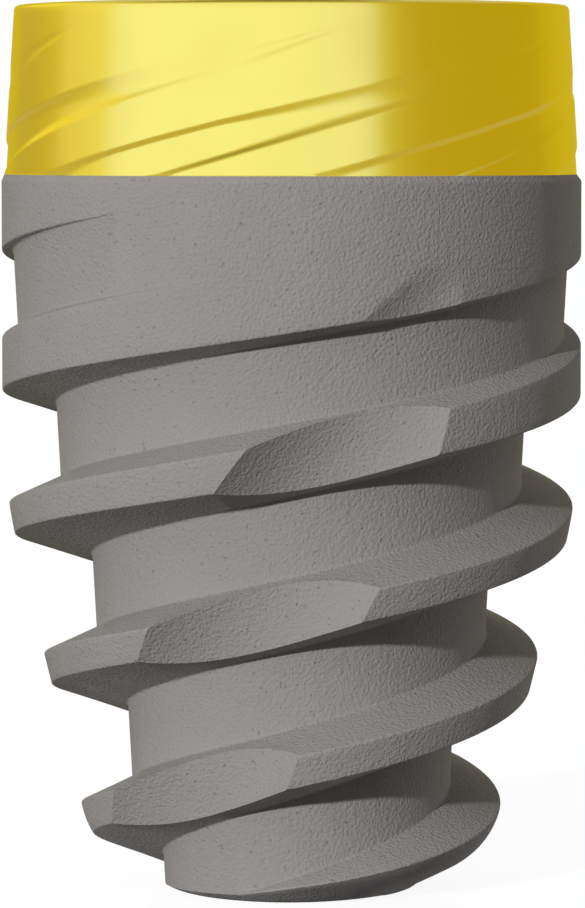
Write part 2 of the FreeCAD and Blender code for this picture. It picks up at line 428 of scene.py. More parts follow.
@dataclass
class ThreadedBody:
    """The blasted body below the collar, from its flat apex to its shoulder."""

    sizes: ImplantSizes
    thread: BoneThread = field(default_factory=BoneThread)
    top: float = 6.62
    edge_round: float = 0.02
    root_round: float = 0.03
    corner_steps: int = 3
    land_rows: int = 5
    halvings: int = 34
    outline: TurnedOutline = field(init=False)

    def __post_init__(self) -> None:
        """Trace the outline that the thread is cut from."""
        self.outline = TurnedOutline(self.sizes, self.top)

    @property
    def groove_numbers(self) -> range:
        """Numbers of the grooves of one column.

        Returns:
            All the numbers whose groove meets the body at some azimuth.
        """
        spare = 2 * self.thread.starts
        span = self.top + self.thread.lead + 2 * self.thread.pitch
        return range(-spare, math.ceil(span / self.thread.pitch))

    def groove(self, azimuth: float, number: int) -> GrooveSection:
        """Work out one groove's corners in a column.

        Args:
            azimuth: the column's direction in degrees.
            number: which groove, counted upward.

        Returns:
            The section, with all corners in one place where the groove has
            left the body.
        """
        thread = self.thread
        middle = thread.middle(azimuth, number)

        def depth(offset: float) -> float:
            """Depth of the groove below the outline at an offset above its middle."""
            return self.outline.radius_at(middle + offset) - thread.radius_at(middle, offset)

        deepest = max((-thread.half, 0.0, thread.half), key=depth)
        if depth(deepest) <= 0.0 or middle + deepest >= self.top:
            distance = self.outline.distance_at(middle + deepest)
            spot = self.outline.walk(distance)
            return GrooveSection(spot, spot, spot, spot, distance, distance)
        low = self.edge(depth, deepest, -thread.lead)
        high = self.edge(depth, deepest, thread.lead)
        corners = []
        for offset in (low, max(low, -thread.half), min(high, thread.half), high):
            corners.append(Spot(thread.radius_at(middle, offset), middle + offset))
        return GrooveSection(
            *corners,
            self.outline.distance_at(middle + low),
            self.outline.distance_at(middle + high),
        )

    def edge(self, depth: Callable[[float], float], inside: float, outside: float) -> float:
        """Find the offset at which a groove's depth is nothing.

        Args:
            depth: the groove's depth at an offset.
            inside: an offset in the groove.
            outside: an offset past its edge.

        Returns:
            The edge's offset.
        """
        for _ in range(self.halvings):
            middle = (inside + outside) / 2
            if depth(middle) > 0.0:
                inside = middle
            else:
                outside = middle
        return (inside + outside) / 2

    def land(self, start: float, end: float) -> list[Spot]:
        """Places of the crest between two distances along the outline, its ends left out."""
        shares = [step / (self.land_rows + 1) for step in range(1, self.land_rows + 1)]
        return [self.outline.walk(start + (end - start) * share) for share in shares]

    def thread_spots(self, azimuth: float) -> list[Spot]:
        """Work out a column's places over the thread.

        Args:
            azimuth: the column's direction in degrees.

        Returns:
            The places, the same number at every azimuth.
        """
        outline = self.outline
        grooves = [self.groove(azimuth, number) for number in self.groove_numbers]
        next_edges = [groove.lower_distance for groove in grooves[1:]] + [outline.length]
        spots: list[Spot] = []
        previous = 0.0
        land_start = 0.0
        for groove, next_edge in zip(grooves, next_edges):
            below = outline.walk((groove.lower_distance + previous) / 2)
            above = outline.walk((groove.upper_distance + next_edge) / 2)
            corners = (
                (below, groove.lower_edge, groove.lower_root, self.edge_round),
                (groove.lower_edge, groove.lower_root, groove.upper_root, self.root_round),
                (groove.lower_root, groove.upper_root, groove.upper_edge, self.root_round),
                (groove.upper_root, groove.upper_edge, above, self.edge_round),
            )
            arcs = [rounded_corner(*corner, self.corner_steps) for corner in corners]
            if spots:
                spots += self.land(land_start, groove.lower_distance - arcs[0][0].distance(groove.lower_edge))
            for arc in arcs:
                spots += arc
            previous = groove.upper_distance
            land_start = previous + arcs[-1][-1].distance(groove.upper_edge)
        return spots

    def rows(self, azimuth: float, collar_foot: Spot) -> list[Row]:
        """Work out a column's rows from the middle of the apex to the collar.

        Args:
            azimuth: the column's direction in degrees.
            collar_foot: where the collar starts in this column.

        Returns:
            The rows, all blasted.
        """
        top = Spot(self.sizes.body_radius, self.top)
        shoulder = Spot(self.sizes.body_radius, self.sizes.shoulder_foot_height)
        spots = [APEX_MIDDLE]
        spots += self.thread_spots(azimuth)
        spots.append(top)
        spots += rounded_corner(top, shoulder, collar_foot, self.root_round, self.corner_steps)
        return dressed(spots, Surface.BLASTED)


@dataclass(frozen=True)
class RunOutGroove:
    """A shallow helical groove of the collar, between two climbing edges.

    Azimuths are counted from the groove's own zero to the right. Heights are
    those at zero, and climbs are millimetres per degree. Each wall is steep at
    its edge and runs softly into the floor, and its width follows a table of
    azimuths and widths.
    """

    upper_height: float
    upper_climb: float
    lower_height: float
    lower_climb: float
    first: float
    last: float
    fade: float
    depth: float
    upper_wall: Table
    lower_wall: Table

    def dent(self, azimuth: float, height: float) -> float:
        """Depth of the groove at a place on the collar.

        Args:
            azimuth: the place's azimuth from the groove's zero, in degrees.
            height: its height above the apex.

        Returns:
            How far the surface lies below the plain collar.
        """
        turn = (azimuth - self.first) % FULL_TURN + self.first
        if turn >= self.last:
            return 0.0
        below = self.upper_height + self.upper_climb * turn - height
        above = height - self.lower_height - self.lower_climb * turn
        if below <= 0.0 or above <= 0.0:
            return 0.0
        upper = 1 - max(0.0, 1 - below / table_value(self.upper_wall, turn)) ** 2
        lower = 1 - max(0.0, 1 - above / table_value(self.lower_wall, turn)) ** 2
        start = min(1.0, (turn - self.first) / self.fade)
        end = min(1.0, (self.last - turn) / self.fade)
        return self.depth * upper * lower * math.sin(math.pi / 2 * min(start, end)) ** 2


RUN_OUTS = (
    RunOutGroove(
        upper_height=7.46,
        upper_climb=0.01135,
        lower_height=7.145,
        lower_climb=0.0133,
        first=-100.0,
        last=54.0,
        fade=44.0,
        depth=0.02,
        upper_wall=(
            (-60.0, 0.2),
            (-44.0, 0.06),
            (-36.0, 0.035),
            (-14.0, 0.035),
            (8.0, 0.15),
            (20.0, 0.18),
            (30.0, 0.3),
        ),
        lower_wall=((-12.0, 0.04), (8.0, 0.11), (24.0, 0.1), (38.0, 0.05)),
    ),
    RunOutGroove(
        upper_height=8.06,
        upper_climb=0.0125,
        lower_height=7.96,
        lower_climb=0.0175,
        first=-14.0,
        last=21.0,
        fade=10.0,
        depth=0.005,
        upper_wall=((0.0, 0.06),),
        lower_wall=((0.0, 0.05),),
    ),
)


@dataclass(frozen=True)
class Collar:
    """The polished collar, with its run-out grooves and its rounded rim."""

    sizes: ImplantSizes
    grooves: tuple[RunOutGroove, ...] = RUN_OUTS
    copies: int = 6
    side_rows: int = 100
    rim_side: float = 0.1
    rim_round: float = 0.045
    rim_steps: int = 5

    @property
    def foot(self) -> Spot:
        """Where the plain collar's side starts."""
        return Spot(self.sizes.collar_foot_radius, self.sizes.collar_foot_height)

    @property
    def corner(self) -> Spot:
        """Where the side would meet the platform sharply."""
        return Spot(self.sizes.platform_radius, self.sizes.length)

    @property
    def rim_foot(self) -> Spot:
        """Where the side ends below the rounded rim."""
        return self.corner.toward(self.foot, self.rim_side / self.corner.distance(self.foot))

    @property
    def rim_end(self) -> Spot:
        """Where the flat platform starts."""
        return Spot(self.sizes.platform_radius - self.rim_side, self.sizes.length)

    def side(self, azimuth: float) -> list[Spot]:
        """Work out a column's places up the collar's side.

        Args:
            azimuth: the column's direction in degrees.

        Returns:
            The places, from the collar's foot to the foot of its rim.
        """
        zeros = [FRONT_AZIMUTH + FULL_TURN * copy / self.copies for copy in range(self.copies)]
        spots = []
        for step in range(self.side_rows + 1):
            spot = self.foot.toward(self.rim_foot, step / self.side_rows)
            dent = sum(groove.dent(azimuth - zero, spot.height) for zero in zeros for groove in self.grooves)
            spots.append(Spot(spot.radius - dent, spot.height))
        return spots

    def rim(self) -> list[Spot]:
        """Places of the rounded rim."""
        return rounded_corner(self.rim_foot, self.corner, self.rim_end, self.rim_round, self.rim_steps)


@dataclass(frozen=True)
class ScrewThread:
    """The fine thread of the bore, cut outward from its wall."""

    pitch: float = 0.4
    depth: float = 0.17
    crest: float = 0.1
    root: float = 0.06

    def profile(self) -> Table:
        """Drops and depths of one turn's corners, from its crest down to its root."""
        flank = (self.pitch - self.crest - self.root) / 2
        return (
            (0.0, 0.0),
            (self.crest, 0.0),
            (self.crest + flank, self.depth),
            (self.crest + flank + self.root, self.depth),
        )


@dataclass(frozen=True)
class Socket:
    """The machined socket: conical seat, hexagon, and a threaded bore with a drill point."""

    sizes: ImplantSizes
    thread: ScrewThread = field(default_factory=ScrewThread)
    side_angle: float = 60.0
    mouth_round: float = 0.03
    ledge_round: float = 0.02
    corner_steps: int = 3

    def bore_spots(self, azimuth: float) -> list[Spot]:
        """Work out a column's places down the bore's fine thread.

        Args:
            azimuth: the column's direction in degrees.

        Returns:
            The places, the same number at every azimuth.
        """
        pitch = self.thread.pitch
        foot = self.sizes.bore_foot_height
        top = self.sizes.hexagon_foot_height - self.thread.depth
        spots = []
        for turn in range(-1, math.ceil((top - foot) / pitch) + 2):
            for drop, depth in self.thread.profile():
                height = top - turn * pitch - drop + pitch * azimuth / FULL_TURN
                cut = depth if foot < height < top else 0.0
                spots.append(Spot(self.sizes.bore_radius + cut, min(max(height, foot), top)))
        return spots

    def rows(self, azimuth: float, rim_end: Spot) -> list[Row]:
        """Work out a column's rows from the platform down to the tip of the bore.

        Args:
            azimuth: the column's direction in degrees.
            rim_end: where the flat platform starts.

        Returns:
            The rows, all machined.
        """
        sizes = self.sizes
        mouth = Spot(sizes.seat_mouth_radius, sizes.length)
        foot = Spot(sizes.seat_foot_radius, sizes.seat_foot_height)
        turn = math.radians(azimuth % self.side_angle - self.side_angle / 2)
        wall = sizes.hexagon_half_width / math.cos(turn)
        ledge = Spot(wall, sizes.seat_foot_height)
        floor = Spot(wall, sizes.hexagon_foot_height)
        spots = rounded_corner(rim_end, mouth, foot, self.mouth_round, self.corner_steps)
        spots.append(foot)
        spots += rounded_corner(foot, ledge, floor, self.ledge_round, self.corner_steps)
        spots.append(floor)
        spots.append(Spot(sizes.bore_radius + self.thread.depth, sizes.hexagon_foot_height))
        spots.append(Spot(sizes.bore_radius, sizes.hexagon_foot_height - self.thread.depth))
        spots += self.bore_spots(azimuth)
        spots.append(Spot(sizes.bore_radius, sizes.bore_foot_height))
        spots.append(Spot(0.0, sizes.bore_tip_height))
        return dressed(spots, Surface.MACHINED)


class ToolPoint(NamedTuple):
    """A corner of a flute's tool, counted out from its floor or from the axis."""

    out: float
    across: float
    from_floor: bool


@dataclass(frozen=True)
class Flute:
    """A helical cutting flute, a hollow arc that fades out upward."""

    count: int = 2
    radius: float = 2.05
    lead: float = 30.8
    phase: float = 49.6
    floor_radius: float = 1.44
    taper: float = 12.3
    arc_half_angle: float = 50.0
    arc_steps: int = 40
    rise_steps: int = 60
    below: float = 0.6
    reach: float = 5.5

    def section(self) -> list[ToolPoint]:
        """Outline of the tool.

        Returns:
            The corners of its arc, and two well outside the implant.
        """
        half = math.radians(self.arc_half_angle)
        points = []
        for step in range(self.arc_steps + 1):
            angle = half * (2 * step / self.arc_steps - 1)
            points.append(ToolPoint(self.radius * (1 - math.cos(angle)), self.radius * math.sin(angle), True))
        points.append(ToolPoint(self.reach, points[-1].across, False))
        points.append(ToolPoint(self.reach, points[0].across, False))
        return points

    def place(self, point: ToolPoint, climb: float, number: int) -> Vector:
        """Put a corner of the tool in space.

        Args:
            point: the corner.
            climb: how far the section has climbed from its start.
            number: which flute.

        Returns:
            The corner's place.
        """
        height = climb - self.below
        floor = self.floor_radius + tangent(self.taper) * height
        turn = self.phase + FULL_TURN * (height / self.lead + number / self.count)
        radial = floor + point.out if point.from_floor else point.out
        return Matrix.Rotation(math.radians(turn), 3, "Z") @ Vector((radial, point.across, height))

    def cutter(self, number: int, body_radius: float) -> bmesh.types.BMesh:
        """Carry the section up along a conical helix.

        Args:
            number: which flute.
            body_radius: the radius past which the tool is clear of the body.

        Returns:
            The closed tool, in millimetres.
        """
        points = self.section()
        rise = (body_radius + self.below - self.floor_radius) / tangent(self.taper) + self.below
        tool = bmesh.new()
        corner = tool.verts.layers.int.new("corner")
        verts = [tool.verts.new(self.place(point, 0.0, number)) for point in points]
        for index, vert in enumerate(verts):
            vert[corner] = index
        bottom = [tool.edges.new(pair) for pair in zip(verts, verts[1:] + verts[:1])]
        edges = list(bottom)
        for step in range(1, self.rise_steps + 1):
            grown = bmesh.ops.extrude_edge_only(tool, edges=edges)["geom"]
            edges = [item for item in grown if isinstance(item, bmesh.types.BMEdge)]
            for item in grown:
                if isinstance(item, bmesh.types.BMVert):
                    item.co = self.place(points[item[corner]], rise * step / self.rise_steps, number)
        bmesh.ops.contextual_create(tool, geom=bottom)
        bmesh.ops.contextual_create(tool, geom=edges)
        for face in tool.faces:
            face.smooth = True
        bmesh.ops.recalc_face_normals(tool, faces=tool.faces)
        return tool


@dataclass
class Implant:
    """The whole implant, spun from columns that run from its apex to its bore."""

    body: ThreadedBody
    collar: Collar
    socket: Socket
    flute: Flute
    columns: int = 300
    merge_distance: float = 2e-4
    shortest_edge: float = 1e-5

    def column(self, azimuth: float) -> list[Row]:
        """Work out a whole column.

        Args:
            azimuth: the column's direction in degrees.

        Returns:
            Its rows, from the middle of the apex to the tip of the bore.
        """
        side = self.collar.side(azimuth)
        rows = self.body.rows(azimuth, side[0])
        rows += dressed(side + self.collar.rim(), Surface.COLLAR)
        rows += self.socket.rows(azimuth, self.collar.rim_end)
        return rows

    def shell(self) -> bmesh.types.BMesh:
        """Spin a chain round the axis, set it to the columns and close it into one shell.

        In the spun grid a vertex's distance from the axis tells its row, and its
        height tells its column.

        Returns:
            The shell in millimetres, with a surface for every face.
        """
        shell = bmesh.new()
        step = FULL_TURN / self.columns
        columns = [self.column(number * step) for number in range(self.columns + 1)]
        verts = [shell.verts.new((row + 1.0, 0.0, 0.0)) for row in range(len(columns[0]))]
        edges = [shell.edges.new(pair) for pair in zip(verts, verts[1:])]
        bmesh.ops.spin(
            shell,
            geom=verts + edges,
            cent=(0.0, 0.0, 0.0),
            axis=(0.0, 0.0, 1.0),
            dvec=(0.0, 0.0, 1.0),
            angle=math.radians(FULL_TURN),
            steps=self.columns,
            use_merge=False,
        )
        surfaces = [row.surface for row in columns[0]]
        for face in shell.faces:
            face.material_index = int(surfaces[min(self.grid_row(vert) for vert in face.verts)])
        for vert in shell.verts:
            number = round(vert.co.z)
            vert.co = self.place(columns[number][self.grid_row(vert)].spot, number * step)
        bmesh.ops.remove_doubles(shell, verts=shell.verts, dist=self.merge_distance)
        bmesh.ops.dissolve_degenerate(shell, dist=self.shortest_edge, edges=shell.edges)
        bmesh.ops.recalc_face_normals(shell, faces=shell.faces)
        return shell

    @staticmethod
    def grid_row(vert: bmesh.types.BMVert) -> int:
        """Row of a vertex of the freshly spun grid, which is its distance from the axis."""
        return round(vert.co.to_2d().length) - 1

    @staticmethod
    def place(spot: Spot, azimuth: float) -> Vector:
        """A column's place in space."""
        angle = math.radians(azimuth)
        return Vector((spot.radius * math.cos(angle), spot.radius * math.sin(angle), spot.height))

    def build(self, finishes: list[bpy.types.Material]) -> bpy.types.Object:
        """Make the implant, cut its flutes and give it its finishes.

        Args:
            finishes: one material per surface, in the surfaces' order.

        Returns:
            The finished object in metres, at the frame's origin.
        """
        piece = new_object("implant_visual", self.shell())
        for finish in finishes:
            piece.data.materials.append(finish)
        cutters = []
        for number in range(self.flute.count):
            tool = self.flute.cutter(number, self.body.sizes.body_radius)
            cutter = new_object(f"flute_cutter_{number}", tool)
            cutter.data.materials.append(finishes[Surface.BLASTED])
            cut = piece.modifiers.new(f"flute_{number}", "BOOLEAN")
            cut.operation = "DIFFERENCE"
            cut.solver = "EXACT"
            cut.object = cutter
            cutters.append(cutter)
        depsgraph = bpy.context.evaluated_depsgraph_get()
        cut_mesh = bpy.data.meshes.new_from_object(piece.evaluated_get(depsgraph))
        piece.modifiers.clear()
        piece.data = cut_mesh
        for cutter in cutters:
            bpy.data.objects.remove(cutter)
        finish_mesh(cut_mesh)
        flat = piece.modifiers.new("flat_faces", "WEIGHTED_NORMAL")
        flat.mode = "FACE_AREA"
        flat.keep_sharp = True
        return piece


def new_object(name: str, shape: bmesh.types.BMesh) -> bpy.types.Object:
    """Put a bmesh into a new object of the scene and free it.

    Args:
        name: the object's name.
        shape: its shape.

    Returns:
        The object.
    """
    mesh = bpy.data.meshes.new(name)
    shape.to_mesh(mesh)
    shape.free()
    item = bpy.data.objects.new(name, mesh)
    bpy.context.scene.collection.objects.link(item)
    return item


def finish_mesh(mesh: bpy.types.Mesh, sharp_from: float = 32.0) -> None:
    """Scale a mesh to metres and mark its sharp edges.

    Args:
        mesh: the mesh, in millimetres.
        sharp_from: the angle between two faces from which their edge is sharp.
    """
    shape = bmesh.new()
    shape.from_mesh(mesh)
    bmesh.ops.scale(shape, vec=(MILLIMETRE,) * 3, verts=shape.verts)
    limit = math.radians(sharp_from)
    for edge in shape.edges:
        edge.smooth = len(edge.link_faces) == 2 and edge.calc_face_angle(0.0) < limit
    for face in shape.faces:
        face.smooth = True
    shape.to_mesh(mesh)
    shape.free()


def new_material(name: str) -> tuple[bpy.types.Material, bpy.types.NodeTree, bpy.types.ShaderNode]:
    """Make a plain material.

    Args:
        name: the material's name.

    Returns:
        The material, its node tree and its Principled shader.
    """
    material = bpy.data.materials.new(name)
    material.use_nodes = True
    return material, material.node_tree, material.node_tree.nodes["Principled BSDF"]


def object_noise(tree: bpy.types.NodeTree, size: float, detail: float) -> bpy.types.NodeSocket:
    """Add noise on the object's own coordinates.

    Args:
        tree: the material's node tree.
        size: size of its grains in millimetres.
        detail: how many finer layers it has.

    Returns:
        The noise's value, from 0 to 1.
    """
    place = tree.nodes.new("ShaderNodeTexCoord")
    noise = tree.nodes.new("ShaderNodeTexNoise")
    noise.inputs["Scale"].default_value = 1.0 / (size * MILLIMETRE)
    noise.inputs["Detail"].default_value = detail
    tree.links.new(place.outputs["Object"], noise.inputs["Vector"])
    return noise.outputs["Fac"]


def ranged(
    tree: bpy.types.NodeTree, source: bpy.types.NodeSocket, span: Span, to: Span
) -> bpy.types.NodeSocket:
    """Carry a value from one range to another, held at its ends.

    Args:
        tree: the material's node tree.
        source: the value.
        span: the range it is read over.
        to: the range it is carried to.

    Returns:
        The new value.
    """
    node = tree.nodes.new("ShaderNodeMapRange")
    node.inputs["From Min"].default_value = span[0]
    node.inputs["From Max"].default_value = span[1]
    node.inputs["To Min"].default_value = to[0]
    node.inputs["To Max"].default_value = to[1]
    tree.links.new(source, node.inputs["Value"])
    return node.outputs["Result"]


def bumped(tree: bpy.types.NodeTree, height: bpy.types.NodeSocket, depth: float) -> bpy.types.NodeSocket:
    """Turn a relief into a normal.

    Args:
        tree: the material's node tree.
        height: the relief, from 0 to 1.
        depth: its full height in millimetres.

    Returns:
        The normal.
    """
    bump = tree.nodes.new("ShaderNodeBump")
    bump.inputs["Distance"].default_value = depth * MILLIMETRE
    tree.links.new(height, bump.inputs["Height"])
    return bump.outputs["Normal"]


def shaded(
    tree: bpy.types.NodeTree,
    share: bpy.types.NodeSocket,
    plain: Colour | bpy.types.NodeSocket,
    other: Colour,
) -> bpy.types.NodeSocket:
    """Mix a colour with another by a share that changes over the surface.

    Args:
        tree: the material's node tree.
        share: how much of the other colour shows.
        plain: the first colour, or the output of a node that works it out.
        other: the other colour.

    Returns:
        The mixed colour.
    """
    mix = tree.nodes.new("ShaderNodeMix")
    mix.data_type = "RGBA"
    mix.inputs["B"].default_value = (*other, 1.0)
    tree.links.new(share, mix.inputs["Factor"])
    if isinstance(plain, bpy.types.NodeSocket):
        tree.links.new(plain, mix.inputs["A"])
    else:
        mix.inputs["A"].default_value = (*plain, 1.0)
    return mix.outputs["Result"]


def darkened(colour: Colour, share: float) -> Colour:
    """A colour at a share of its strength."""
    red, green, blue = colour
    return (red * share, green * share, blue * share)


@dataclass(frozen=True)
class PatternGroup:
    """A node group of noise, with a place and a size in metres as its inputs."""

    name: str
    output: str
    round_axis: bool = False
    detail: float = 1.0

    def tree(self) -> bpy.types.NodeTree:
        """Build the group.

        Returns:
            Its node tree, which gives a value from 0 to 1. Round the axis, that
            value is the same all round the Z axis, as the marks of a lathe are.
        """
        group = bpy.data.node_groups.new(self.name, "ShaderNodeTree")
        group.interface.new_socket("Place", in_out="INPUT", socket_type="NodeSocketVector")
        group.interface.new_socket("Size", in_out="INPUT", socket_type="NodeSocketFloat")
        group.interface.new_socket(self.output, in_out="OUTPUT", socket_type="NodeSocketFloat")
        source = group.nodes.new("NodeGroupInput")
        result = group.nodes.new("NodeGroupOutput")
        place = source.outputs["Place"]
        if self.round_axis:
            place = self.ring_place(group, place)
        scale = group.nodes.new("ShaderNodeMath")
        scale.operation = "DIVIDE"
        scale.inputs[0].default_value = 1.0
        noise = group.nodes.new("ShaderNodeTexNoise")
        noise.inputs["Detail"].default_value = self.detail
        group.links.new(source.outputs["Size"], scale.inputs[1])
        group.links.new(place, noise.inputs["Vector"])
        group.links.new(scale.outputs["Value"], noise.inputs["Scale"])
        group.links.new(noise.outputs["Fac"], result.inputs[self.output])
        return group

    @staticmethod
    def ring_place(group: bpy.types.NodeTree, place: bpy.types.NodeSocket) -> bpy.types.NodeSocket:
        """Fold a place round the Z axis.

        Args:
            group: the node group.
            place: the place.

        Returns:
            Its distance from the axis as X and its height as Z.
        """
        flat = group.nodes.new("ShaderNodeVectorMath")
        flat.operation = "MULTIPLY"
        flat.inputs[1].default_value = (1.0, 1.0, 0.0)
        radius = group.nodes.new("ShaderNodeVectorMath")
        radius.operation = "LENGTH"
        parts = group.nodes.new("ShaderNodeSeparateXYZ")
        ring = group.nodes.new("ShaderNodeCombineXYZ")
        group.links.new(place, flat.inputs[0])
        group.links.new(flat.outputs["Vector"], radius.inputs[0])
        group.links.new(place, parts.inputs["Vector"])
        group.links.new(radius.outputs["Value"], ring.inputs["X"])
        group.links.new(parts.outputs["Z"], ring.inputs["Z"])
        return ring.outputs["Vector"]


def grouped(tree: bpy.types.NodeTree, group: bpy.types.NodeTree, size: float) -> bpy.types.NodeSocket:
    """Use a pattern's node group on the object's own coordinates.

    Args:
        tree: the material's node tree.
        group: the pattern's node group.
        size: its size in millimetres.

    Returns:
        The pattern's value.
    """
    place = tree.nodes.new("ShaderNodeTexCoord")
    node = tree.nodes.new("ShaderNodeGroup")
    node.node_tree = group
    node.inputs["Size"].default_value = size * MILLIMETRE
    tree.links.new(place.outputs["Object"], node.inputs["Place"])
    return node.outputs[0]


PATCH_RANGE = (0.3, 0.7)


def strayed(
    tree: bpy.types.NodeTree, patch: bpy.types.NodeSocket, middle: float, spread: float
) -> bpy.types.NodeSocket:
    """Let a value stray from its middle with the soft patches.

    Args:
        tree: the material's node tree.
        patch: the soft patches.
        middle: the value's middle.
        spread: how far it strays either way.

    Returns:
        The value over the surface.
    """
    return ranged(tree, patch, PATCH_RANGE, (middle - spread, middle + spread))


@dataclass(frozen=True)
class BlastedTitanium:
    """Matt grey titanium, roughened by blasting and etching."""

    name: str = "blasted_titanium"
    colour: Colour = (0.305, 0.29, 0.284)
    roughness: float = 0.7
    roughness_spread: float = 0.06
    specular: float = 0.05
    grain_size: float = 0.031
    grain_detail: float = 1.5
    grain_depth: float = 0.0145
    pit_size: float = 0.035
    pit_range: Span = (0.76, 0.84)
    pit_depth: float = 0.005
    # Share of the colour kept in each pit: painted shade in the dent.
    pit_painted_shade: float = 0.86
    patch_size: float = 0.5
    patch_shade: float = 0.94

    def material(self, patches: bpy.types.NodeTree) -> bpy.types.Material:
        """Build the finish.

        Args:
            patches: the node group of soft patches.

        Returns:
            A material with a fine grain, sparse pit dents with painted shade in them and faint patches.
        """
        material, tree, shader = new_material(self.name)
        shader.inputs["Specular IOR Level"].default_value = self.specular
        grain = object_noise(tree, self.grain_size, self.grain_detail)
        pits_and_painted_shade = ranged(tree, object_noise(tree, self.pit_size, 0.0), self.pit_range, (0.0, 1.0))
        patch = grouped(tree, patches, self.patch_size)
        toned = shaded(tree, patch, self.colour, darkened(self.colour, self.patch_shade))
        # Painted shade: the colour darkens in each pit, which is also a dent in the relief.
        with_painted_pit_shade = shaded(tree, pits_and_painted_shade, toned, darkened(self.colour, self.pit_painted_shade))
        tree.links.new(with_painted_pit_shade, shader.inputs["Base Color"])
        relief = tree.nodes.new("ShaderNodeMath")
        relief.operation = "MULTIPLY_ADD"
        relief.inputs[1].default_value = -self.pit_depth / self.grain_depth
        tree.links.new(pits_and_painted_shade, relief.inputs[0])
        tree.links.new(grain, relief.inputs[2])
        tree.links.new(bumped(tree, relief.outputs[0], self.grain_depth), shader.inputs["Normal"])
        roughness = strayed(tree, patch, self.roughness, self.roughness_spread)
        tree.links.new(roughness, shader.inputs["Roughness"])
        return material


@dataclass(frozen=True)
class TurnedMetal:
    """A smooth turned metal with fine rings round its axis."""

    name: str
    colour: Colour
    roughness: float
    spacing: float
    depth: float
    roughness_spread: float = 0.02
    coat: float = 0.0
    coat_roughness: float = 0.2
    coat_ior: float = 1.5
    edge_tint: Colour = WHITE
    patch_size: float = 0.8
    patch_shade: float = 0.97

    def material(self, patches: bpy.types.NodeTree, marks: bpy.types.NodeTree) -> bpy.types.Material:
        """Build the finish.

        Args:
            patches: the node group of soft patches.
            marks: the node group of turning marks.

        Returns:
            A metallic material with rings in its relief.
        """
        material, tree, shader = new_material(self.name)
        shader.inputs["Metallic"].default_value = 1.0
        shader.inputs["Coat Weight"].default_value = self.coat
        shader.inputs["Coat Roughness"].default_value = self.coat_roughness
        shader.inputs["Coat IOR"].default_value = self.coat_ior
        shader.inputs["Specular Tint"].default_value = (*self.edge_tint, 1.0)
        rings = grouped(tree, marks, self.spacing)
        tree.links.new(bumped(tree, rings, self.depth), shader.inputs["Normal"])
        patch = grouped(tree, patches, self.patch_size)
        toned = shaded(tree, patch, self.colour, darkened(self.colour, self.patch_shade))
        tree.links.new(toned, shader.inputs["Base Color"])
        roughness = strayed(tree, patch, self.roughness, self.roughness_spread)
        tree.links.new(roughness, shader.inputs["Roughness"])
        return material


PATCHES = PatternGroup("soft_patches", "Share")
TURNING_MARKS = PatternGroup("turning_marks", "Height", round_axis=True)
GOLD = TurnedMetal(
    "gold_collar",
    (0.96, 0.77, 0.06),
    roughness=0.35,
    spacing=0.03,
    depth=0.00015,
    coat=1.0,
    coat_roughness=0.2,
    coat_ior=1.9,
    edge_tint=(1.0, 0.95, 0.4),
)
MACHINED = TurnedMetal("machined_titanium", (0.55, 0.54, 0.53), roughness=0.3, spacing=0.05, depth=0.001)


@dataclass(frozen=True)
class Lamp:
    """A distant lamp that lights matt surfaces, while polished ones reflect the cards.

    Its azimuth is counted from the front to the right, in degrees.
    """

    name: str
    azimuth: float
    elevation: float
    strength: float
    shadow: bool = True
    angle: float = 2.0

    def build(self) -> None:
        """Hang the lamp."""
        light = bpy.data.lights.new(self.name, "SUN")
        light.energy = self.strength
        light.angle = math.radians(self.angle)
        light.use_shadow = self.shadow
        sun = bpy.data.objects.new(self.name, light)
        turn = Matrix.Rotation(math.radians(self.azimuth), 4, "Z")
        tilt = Matrix.Rotation(math.radians(QUARTER_TURN - self.elevation), 4, "X")
        sun.matrix_world = turn @ tilt
        sun.visible_glossy = False
        bpy.context.scene.collection.objects.link(sun)


@dataclass(frozen=True)
class Card:
    """A curved card round the implant that shows only in polished metal.

    Azimuths are counted from the front to the right, in degrees. The foot and
    the head are distances from the axis and heights, in millimetres.
    """

    name: str
    start: float
    end: float
    foot: Spot
    head: Spot
    colour: Colour
    steps: int = 24

    def shape(self) -> bmesh.types.BMesh:
        """Spin the card's upright edge.

        Returns:
            The card's sheet, in metres.
        """
        sheet = bmesh.new()
        turn = Matrix.Rotation(math.radians(self.start), 3, "Z")
        low, high = (
            sheet.verts.new(turn @ Vector((0.0, -end.radius, end.height)) * MILLIMETRE)
            for end in (self.foot, self.head)
        )
        edge = sheet.edges.new((low, high))
        bmesh.ops.spin(
            sheet,
            geom=[low, high, edge],
            cent=(0.0, 0.0, 0.0),
            axis=(0.0, 0.0, 1.0),
            dvec=(0.0, 0.0, 0.0),
            angle=math.radians(self.end - self.start),
            steps=self.steps,
            use_merge=False,
        )
        return sheet

    def build(self) -> None:
        """Stage the card, seen by reflections alone."""
        card = new_object(self.name, self.shape())
        material, _, shader = new_material(self.name)
        shader.inputs["Base Color"].default_value = (*BLACK, 1.0)
        shader.inputs["Specular IOR Level"].default_value = 0.0
        shader.inputs["Emission Color"].default_value = (*self.colour, 1.0)
        shader.inputs["Emission Strength"].default_value = 1.0
        card.data.materials.append(material)
        card.visible_camera = False
        card.visible_diffuse = False
        card.visible_transmission = False
        card.visible_shadow = False


LAMPS = (
    Lamp("key", azimuth=-31.0, elevation=14.0, strength=2.78),
    Lamp("fill", azimuth=122.0, elevation=-12.0, strength=0.5, shadow=False),
    Lamp("back", azimuth=192.0, elevation=12.0, strength=1.5),
)

